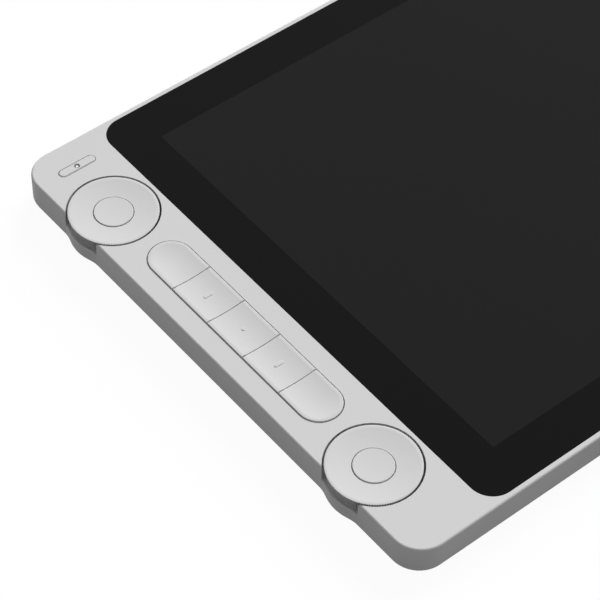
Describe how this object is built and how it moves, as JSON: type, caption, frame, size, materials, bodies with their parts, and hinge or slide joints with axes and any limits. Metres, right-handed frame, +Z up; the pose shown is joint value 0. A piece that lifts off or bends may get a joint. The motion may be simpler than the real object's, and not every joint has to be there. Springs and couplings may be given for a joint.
{
  "type": "graphics tablet with screen",
  "caption": "Flat drawing tablet with a screen under black cover glass, and a grey strip at the left with turning dials, press keys and a power key.",
  "frame": {"origin": "on the table, under the middle of the whole tablet with its dials", "axes": "+X along the long side, away from the control strip; +Y away from the user; +Z up, out of the screen"},
  "size_m": [0.3584, 0.1998, 0.0128],
  "materials": {
    "grey_plastic": "fine matt moulding",
    "key_plastic": "fine matt moulding",
    "dial_plastic": "fine matt moulding",
    "lens_plastic": "clear polished",
    "cover_glass": "black print behind etched glass",
    "clear_layers": "clear",
    "panel": "polished",
    "white_plastic": "smooth",
    "black_plastic": "smooth",
    "board_laminate": "solder mask",
    "sheet_steel": "cold rolled",
    "sheet_aluminium": "mill finish",
    "screw_steel": "black zinc",
    "magnet": "bonded ferrite",
    "flex_film": "polyimide film",
    "tape": "foam tape",
    "foot_rubber": "matt"
  },
  "bodies": {
    "root": {"upper_casing": "grey_plastic", "rear_cover": "grey_plastic", "casing_screws": "screw_steel", "foot_front_left": "foot_rubber", "foot_front_right": "foot_rubber", "foot_back_left": "foot_rubber", "foot_back_right": "foot_rubber", "cover_glass": "cover_glass", "glass_tape": "tape", "optical_adhesive": "clear_layers", "lcd_panel": "panel", "panel_frame": "white_plastic", "diffuser_films": "clear_layers", "light_guide": "clear_layers", "reflector_sheet": "white_plastic", "led_bar": "board_laminate", "backlight_tray": "sheet_steel", "digitizer_board": "board_laminate", "shield_plate": "sheet_steel", "chassis_plate": "sheet_aluminium", "chassis_screws": "screw_steel", "main_board": "board_laminate", "board_standoffs": "sheet_steel", "main_board_screws": "screw_steel", "usb_socket_1": "sheet_steel", "usb_socket_2": "sheet_steel", "main_chips": "black_plastic", "shield_can": "sheet_steel", "display_driver_board": "board_laminate", "display_flex": "flex_film", "flex_connectors": "white_plastic", "display_cable": "flex_film", "control_cable": "flex_film", "digitizer_cable": "flex_film", "control_board": "board_laminate", "control_screws": "screw_steel", "control_chip": "black_plastic", "key_frame": "black_plastic", "key_switches": "black_plastic", "power_led": "white_plastic", "power_switch": "black_plastic", "upper_cap_guide": "black_plastic", "lower_cap_guide": "black_plastic", "cap_switches": "black_plastic", "rotation_sensors": "black_plastic"},
    "upper_wheel": {"upper_dial_wheel": "dial_plastic", "upper_dial_snap_ring": "sheet_steel", "upper_magnet_ring": "magnet"},
    "upper_cap": {"upper_dial_cap": "dial_plastic"},
    "lower_wheel": {"lower_dial_wheel": "dial_plastic", "lower_dial_snap_ring": "sheet_steel", "lower_magnet_ring": "magnet"},
    "lower_cap": {"lower_dial_cap": "dial_plastic"},
    "key_1": {"key_1": "key_plastic"},
    "key_2": {"key_2": "key_plastic"},
    "key_3": {"key_3": "key_plastic"},
    "key_4": {"key_4": "key_plastic"},
    "key_5": {"key_5": "key_plastic"},
    "power_key": {"power_key": "key_plastic", "power_lens": "lens_plastic"}
  },
  "joints": [
    {"name": "upper_wheel_turn", "type": "hinge", "parent": "root", "child": "upper_wheel", "pos_m": [-0.16415, 0.06536, 0.0125], "axis": [0, 0, 1], "continuous": true},
    {"name": "upper_cap_press", "type": "slide", "parent": "root", "child": "upper_cap", "axis": [0, 0, -1], "range_m": [0, 0.0005], "stiffness_N_per_m": 2000, "springref_m": -0.0002},
    {"name": "lower_wheel_turn", "type": "hinge", "parent": "root", "child": "lower_wheel", "pos_m": [-0.16415, -0.06536, 0.0125], "axis": [0, 0, 1], "continuous": true},
    {"name": "lower_cap_press", "type": "slide", "parent": "root", "child": "lower_cap", "axis": [0, 0, -1], "range_m": [0, 0.0005], "stiffness_N_per_m": 2000, "springref_m": -0.0002},
    {"name": "key_1_press", "type": "slide", "parent": "root", "child": "key_1", "axis": [0, 0, -1], "range_m": [0, 0.0006], "stiffness_N_per_m": 1500, "springref_m": -0.0002},
    {"name": "key_2_press", "type": "slide", "parent": "root", "child": "key_2", "axis": [0, 0, -1], "range_m": [0, 0.0006], "stiffness_N_per_m": 1500, "springref_m": -0.0002},
    {"name": "key_3_press", "type": "slide", "parent": "root", "child": "key_3", "axis": [0, 0, -1], "range_m": [0, 0.0006], "stiffness_N_per_m": 1500, "springref_m": -0.0002},
    {"name": "key_4_press", "type": "slide", "parent": "root", "child": "key_4", "axis": [0, 0, -1], "range_m": [0, 0.0006], "stiffness_N_per_m": 1500, "springref_m": -0.0002},
    {"name": "key_5_press", "type": "slide", "parent": "root", "child": "key_5", "axis": [0, 0, -1], "range_m": [0, 0.0006], "stiffness_N_per_m": 1500, "springref_m": -0.0002},
    {"name": "power_key_press", "type": "slide", "parent": "root", "child": "power_key", "axis": [0, 0, -1], "range_m": [0, 0.0004], "stiffness_N_per_m": 2500, "springref_m": -0.0002}
  ]
}
